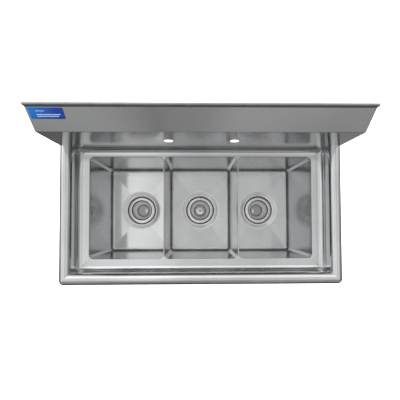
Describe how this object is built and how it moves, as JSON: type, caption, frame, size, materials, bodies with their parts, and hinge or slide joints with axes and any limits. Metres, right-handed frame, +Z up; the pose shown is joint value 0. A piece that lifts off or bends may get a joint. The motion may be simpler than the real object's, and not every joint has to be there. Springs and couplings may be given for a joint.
{
  "type": "three compartment sink",
  "caption": "Free-standing stainless sink with deep compartments side by side, rolled rim, splash with faucet holes, basket drains, and braced tube legs with adjustable feet.",
  "frame": {"origin": "on the floor, under the middle of the whole object's bounding box", "axes": "+Z up, +Y towards the wall behind the sink, +X to the right of a user who faces it"},
  "size_m": [0.9144, 0.508, 1.1113],
  "materials": {
    "stainless": "brushed, fine straight grain along each sheet",
    "bowl_steel": "satin, drawn and lightly ground",
    "drain_steel": "polished",
    "zinc_steel": "zinc plated, dull",
    "gasket_rubber": "matt",
    "plug_plastic": "moulded",
    "label": "glossy printed film"
  },
  "bodies": {
    "sink": {"front_rim": "stainless", "left_rim": "stainless", "right_rim": "stainless", "backsplash": "stainless", "splash_end_left": "stainless", "splash_end_right": "stainless", "divider_strip_left": "stainless", "divider_strip_right": "stainless", "bowl_left": "bowl_steel", "bowl_center": "bowl_steel", "bowl_right": "bowl_steel", "drain_body_left": "drain_steel", "tailpiece_left": "drain_steel", "coupling_nut_left": "drain_steel", "drain_body_center": "drain_steel", "tailpiece_center": "drain_steel", "coupling_nut_center": "drain_steel", "drain_body_right": "drain_steel", "tailpiece_right": "drain_steel", "coupling_nut_right": "drain_steel", "drain_gasket_left": "gasket_rubber", "drain_gasket_center": "gasket_rubber", "drain_gasket_right": "gasket_rubber", "drain_locknut_left": "zinc_steel", "drain_locknut_center": "zinc_steel", "drain_locknut_right": "zinc_steel", "leg_socket_front_left": "zinc_steel", "leg_front_left": "zinc_steel", "brace_clamp_front_left": "zinc_steel", "set_screw_front_left": "zinc_steel", "leg_socket_front_right": "zinc_steel", "leg_front_right": "zinc_steel", "brace_clamp_front_right": "zinc_steel", "set_screw_front_right": "zinc_steel", "leg_socket_back_left": "zinc_steel", "leg_back_left": "zinc_steel", "brace_clamp_back_left": "zinc_steel", "set_screw_back_left": "zinc_steel", "leg_socket_back_right": "zinc_steel", "leg_back_right": "zinc_steel", "brace_clamp_back_right": "zinc_steel", "set_screw_back_right": "zinc_steel", "channel_left": "zinc_steel", "channel_right": "zinc_steel", "brace_left": "zinc_steel", "brace_right": "zinc_steel", "brace_back": "zinc_steel", "leg_plug_front_left": "plug_plastic", "leg_plug_front_right": "plug_plastic", "leg_plug_back_left": "plug_plastic", "leg_plug_back_right": "plug_plastic", "label_sticker": "label"},
    "strainer_left": {"strainer_left": "drain_steel"},
    "strainer_center": {"strainer_center": "drain_steel"},
    "strainer_right": {"strainer_right": "drain_steel"},
    "foot_front_left": {"foot_front_left": "zinc_steel"},
    "foot_front_right": {"foot_front_right": "zinc_steel"},
    "foot_back_left": {"foot_back_left": "zinc_steel"},
    "foot_back_right": {"foot_back_right": "zinc_steel"}
  },
  "joints": [
    {"name": "strainer_left_lift", "type": "slide", "parent": "sink", "child": "strainer_left", "axis": [0, 0, 1], "range_m": [0, 0.56]},
    {"name": "strainer_center_lift", "type": "slide", "parent": "sink", "child": "strainer_center", "axis": [0, 0, 1], "range_m": [0, 0.56]},
    {"name": "strainer_right_lift", "type": "slide", "parent": "sink", "child": "strainer_right", "axis": [0, 0, 1], "range_m": [0, 0.56]},
    {"name": "foot_front_left_adjust", "type": "slide", "parent": "sink", "child": "foot_front_left", "axis": [0, 0, -1], "range_m": [-0.01, 0.015]},
    {"name": "foot_front_right_adjust", "type": "slide", "parent": "sink", "child": "foot_front_right", "axis": [0, 0, -1], "range_m": [-0.01, 0.015]},
    {"name": "foot_back_left_adjust", "type": "slide", "parent": "sink", "child": "foot_back_left", "axis": [0, 0, -1], "range_m": [-0.01, 0.015]},
    {"name": "foot_back_right_adjust", "type": "slide", "parent": "sink", "child": "foot_back_right", "axis": [0, 0, -1], "range_m": [-0.01, 0.015]}
  ]
}
